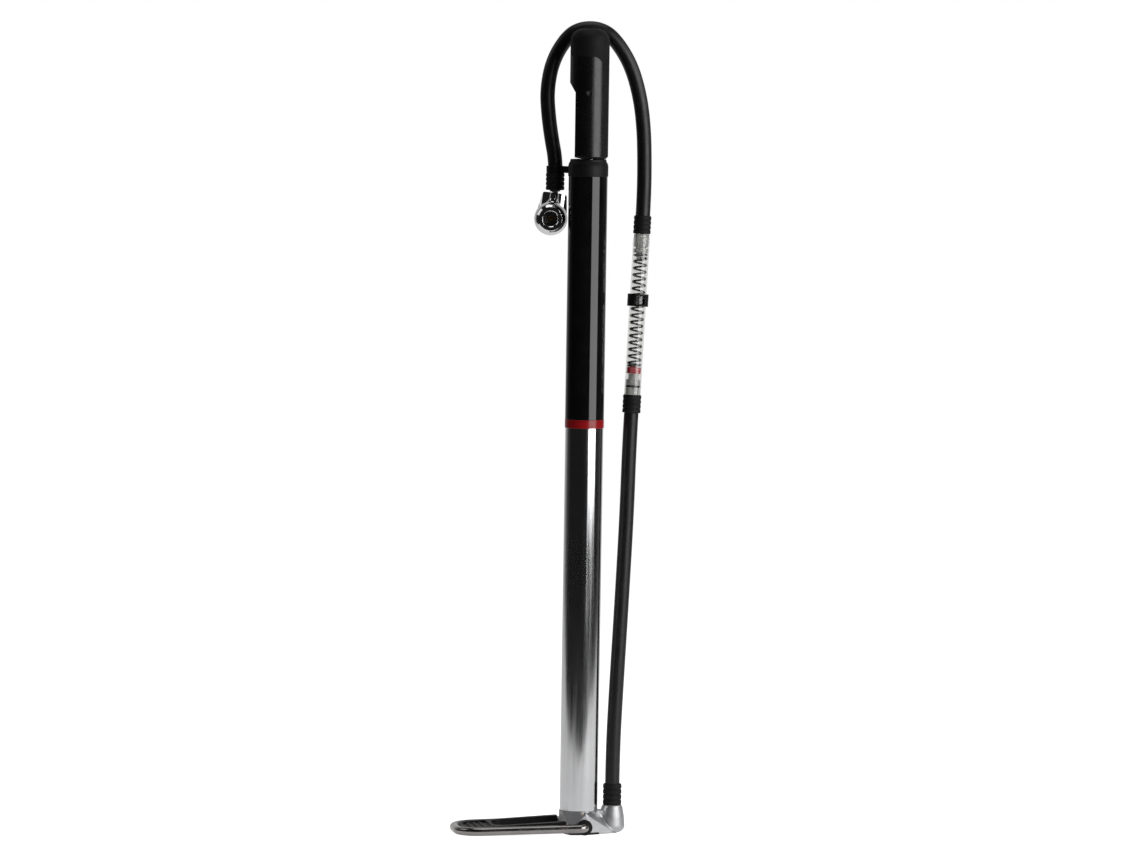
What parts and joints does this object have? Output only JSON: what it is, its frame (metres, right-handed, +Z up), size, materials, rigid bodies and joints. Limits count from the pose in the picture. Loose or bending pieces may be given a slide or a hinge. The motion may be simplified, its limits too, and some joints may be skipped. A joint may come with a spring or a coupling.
{
  "type": "floor bike pump",
  "caption": "Portable floor pump for bicycle tyres: slim barrel, folding T-handle, wire foot loop, in-line pressure gauge on a side hose and a lever chuck.",
  "frame": {"origin": "on the floor under the barrel's axis, in the sole's flat face", "axes": "+Z up along the barrel; -X towards the toe of the foot loop; +X towards the hose boss; +Y completes the right-handed frame"},
  "size_m": [0.1322, 0.075, 0.5492],
  "materials": {
    "cast_aluminium": "satin cast",
    "polished_aluminium": "polished, drawn",
    "black_gloss": "gloss",
    "black_matte": "fine matte",
    "red_gloss": "gloss",
    "black_rubber": "semi-matte rubber",
    "dark_chrome": "dark chrome",
    "bright_chrome": "bright chrome",
    "steel": "bright steel",
    "brass": "machined",
    "white_nylon": "moulded nylon",
    "clear_plastic": "clear moulded"
  },
  "bodies": {
    "pump_body": {"base_casting": "cast_aluminium", "base_sole": "black_rubber", "seat_seal": "black_rubber", "check_seat": "brass", "check_spring": "steel", "base_barb": "brass", "base_hose_sleeve": "black_rubber", "foot_washers": "black_matte", "foot_set_screws": "brass", "barrel_tube": "polished_aluminium", "barrel_sleeve": "black_gloss", "red_band": "red_gloss", "barrel_cap": "black_gloss", "rod_bush": "white_nylon", "rod_wiper": "black_rubber", "hose_clip": "black_matte", "lower_hose": "black_rubber", "gauge_lower_sleeve": "black_rubber", "gauge_lower_plug": "clear_plastic", "gauge_seal": "black_rubber", "gauge_tube": "clear_plastic", "gauge_spring": "steel", "gauge_upper_plug": "clear_plastic", "gauge_upper_sleeve": "black_rubber", "upper_hose": "black_rubber", "head_hose_sleeve": "black_rubber", "head_barb": "brass", "head_body": "bright_chrome", "head_cap": "bright_chrome", "valve_seal": "black_rubber", "lever_pin": "bright_chrome"},
    "rod": {"piston_rod": "bright_chrome", "piston": "white_nylon", "piston_cup": "black_rubber", "piston_bolt": "steel", "rod_bumper": "black_rubber", "rod_eye": "steel"},
    "handle": {"handle_core": "black_gloss", "handle_grip": "black_matte", "handle_pin": "bright_chrome", "handle_washers": "white_nylon"},
    "foot": {"foot_rod": "dark_chrome", "foot_pad": "black_matte"},
    "valve_ball": {"check_ball": "steel"},
    "gauge_indicator": {"gauge_piston": "red_gloss"},
    "gauge_slider": {"gauge_marker": "black_gloss"},
    "chuck_plunger": {"head_plunger": "brass", "depressor_pin": "steel"},
    "chuck_lever": {"head_lever": "bright_chrome"}
  },
  "joints": [
    {"name": "rod_slide", "type": "slide", "parent": "pump_body", "child": "rod", "axis": [0, 0, 1], "range_m": [0, 0.385]},
    {"name": "handle_fold", "type": "hinge", "parent": "rod", "child": "handle", "pos_m": [0, 0, 0.50085], "axis": [-0.1736, -0.9848, 0], "range_deg": [0, 90]},
    {"name": "foot_fold", "type": "hinge", "parent": "pump_body", "child": "foot", "pos_m": [0.001, 0, 0.0053], "axis": [0, 1, 0], "range_deg": [0, 70]},
    {"name": "ball_lift", "type": "slide", "parent": "pump_body", "child": "valve_ball", "axis": [0, 0, 1], "range_m": [0, 0.001], "stiffness_N_per_m": 30, "springref_m": -0.002, "deforming": ["check_spring"]},
    {"name": "gauge_rise", "type": "slide", "parent": "pump_body", "child": "gauge_indicator", "axis": [0.0491, 0.0307, 0.9983], "range_m": [0, 0.055], "stiffness_N_per_m": 200, "springref_m": -0.006, "deforming": ["gauge_spring"]},
    {"name": "marker_slide", "type": "slide", "parent": "pump_body", "child": "gauge_slider", "axis": [0.0491, 0.0307, 0.9983], "range_m": [-0.055, 0.032]},
    {"name": "lever_lock", "type": "hinge", "parent": "pump_body", "child": "chuck_lever", "pos_m": [-0.01964, 0.032, 0.4155], "axis": [-0.9764, 0.1722, 0.1305], "range_deg": [0, 90]},
    {"name": "plunger_push", "type": "slide", "parent": "pump_body", "child": "chuck_plunger", "axis": [-0.1736, -0.9848, 0], "range_m": [0, 0.0015]}
  ],
  "couplings": [
    {"joint": "plunger_push", "follows": "lever_lock", "m_per_rad": 0.00095}
  ]
}
